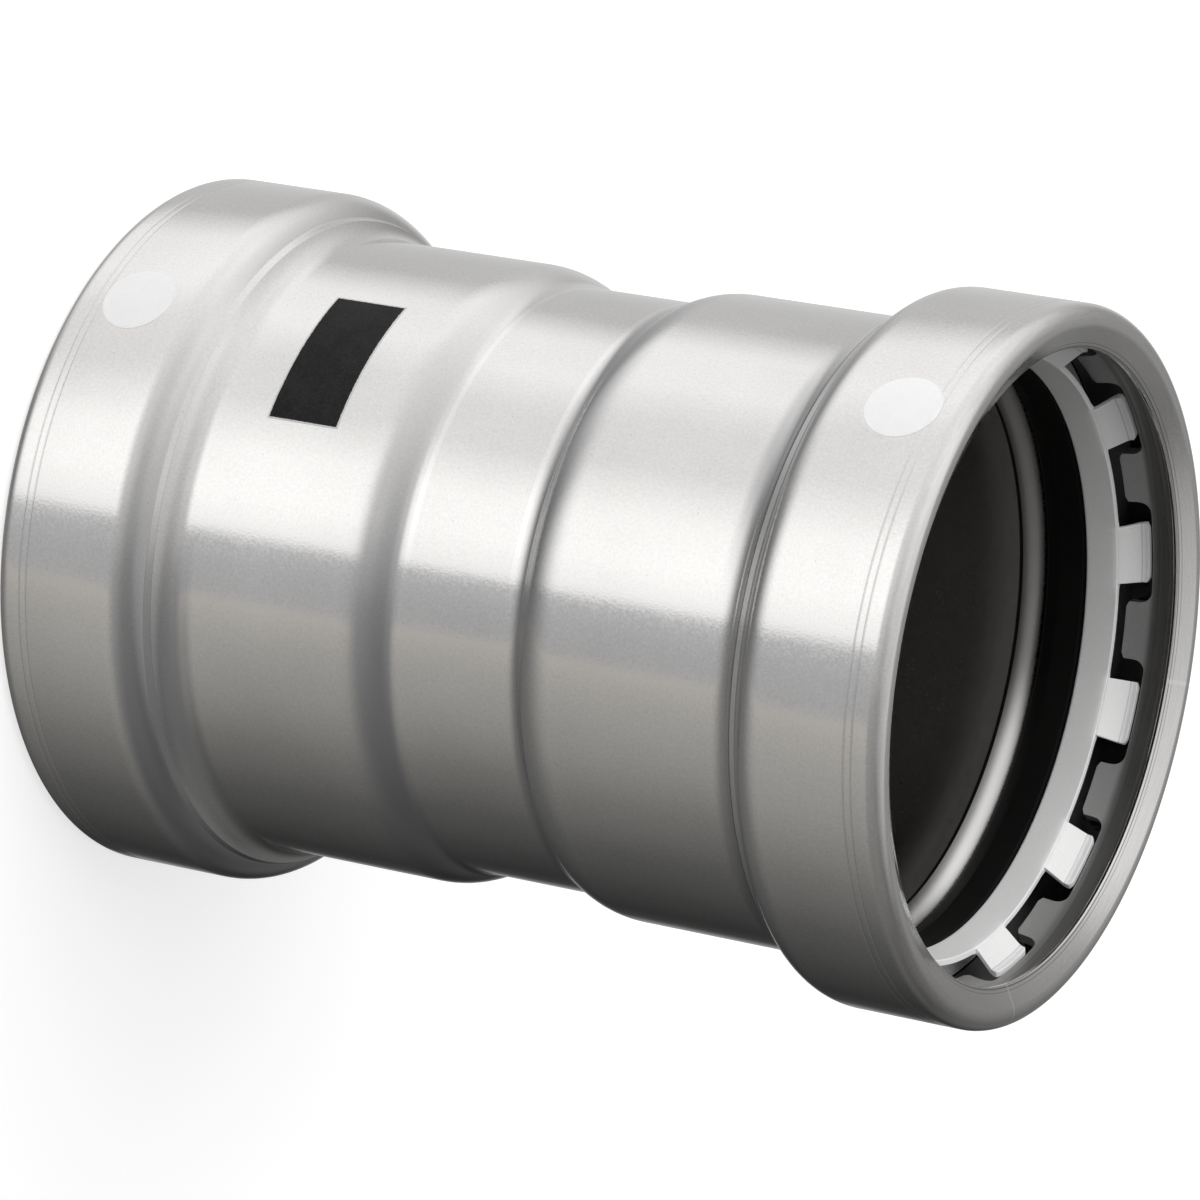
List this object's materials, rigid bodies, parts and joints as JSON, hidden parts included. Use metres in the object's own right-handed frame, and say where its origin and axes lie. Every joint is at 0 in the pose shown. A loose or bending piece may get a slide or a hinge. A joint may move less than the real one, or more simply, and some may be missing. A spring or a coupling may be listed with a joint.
{
  "type": "press fit coupling",
  "caption": "Straight stainless press-fit pipe coupling with a formed bead, seal, separator ring and toothed grip ring at each open end.",
  "frame": {"origin": "centre of the lower mouth's end plane, which the fitting stands on", "axes": "+Z along the tube axis, out of the upper mouth; the first tab lies 25 degrees from +X"},
  "size_m": [0.09, 0.09, 0.125],
  "materials": {
    "stainless": "satin pickled stainless steel",
    "grip_steel": "dark hardened spring steel",
    "separator_steel": "pale matt stainless sheet",
    "seal_rubber": "matt black elastomer",
    "marking_paint": "flat printed ink",
    "label_ink": "flat black printed ink"
  },
  "bodies": {
    "root": {"fitting_body": "stainless", "upper_grip_ring": "grip_steel", "lower_grip_ring": "grip_steel", "upper_separator_ring": "separator_steel", "lower_separator_ring": "separator_steel", "upper_seal_ring": "seal_rubber", "lower_seal_ring": "seal_rubber"}
  },
  "joints": []
}
